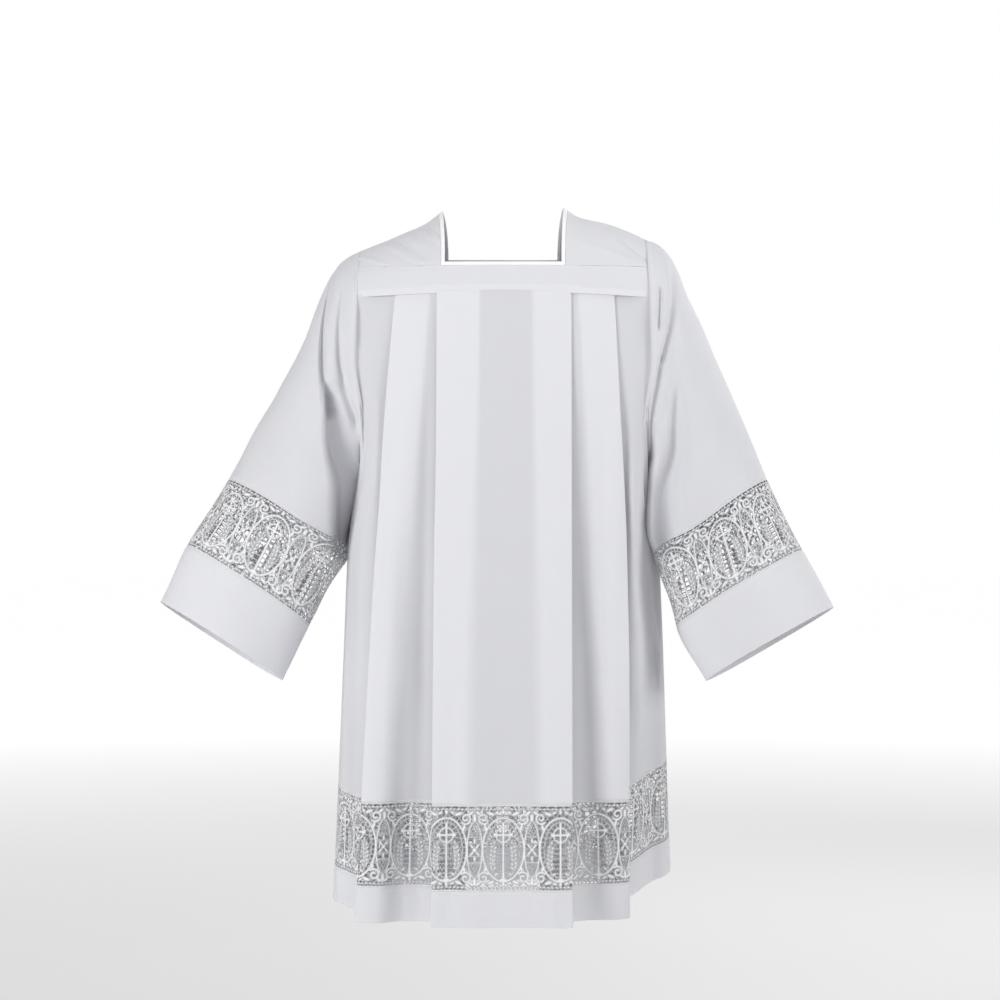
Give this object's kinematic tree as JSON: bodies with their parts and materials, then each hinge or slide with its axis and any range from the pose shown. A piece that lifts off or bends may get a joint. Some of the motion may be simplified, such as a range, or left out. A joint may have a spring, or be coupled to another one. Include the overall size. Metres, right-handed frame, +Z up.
{
  "type": "surplice",
  "caption": "Square-necked white surplice with a pleated body, wide sleeves and lace insertions, held hollow as when worn.",
  "frame": {"origin": "midway between the shoulders, where the wearer carries the garment, at the height of the shoulder ends", "axes": "+X towards the viewer's right in the front view, -Y out of the front, +Z up"},
  "size_m": [0.8612, 0.3574, 0.9132],
  "materials": {
    "cloth": "matt white plain weave",
    "lace": "matt white lace"
  },
  "bodies": {
    "root": {"yoke_front": "cloth", "yoke_back": "cloth", "shoulder_left": "cloth", "shoulder_right": "cloth", "neck_binding": "cloth", "body_front": "cloth", "body_back": "cloth", "hem_band_front": "cloth", "hem_band_back": "cloth", "sleeve_left": "cloth", "sleeve_right": "cloth", "cuff_left": "cloth", "cuff_right": "cloth", "hem_lace_front": "lace", "hem_lace_back": "lace", "sleeve_lace_left_front": "lace", "sleeve_lace_left_back": "lace", "sleeve_lace_right_front": "lace", "sleeve_lace_right_back": "lace"}
  },
  "joints": []
}
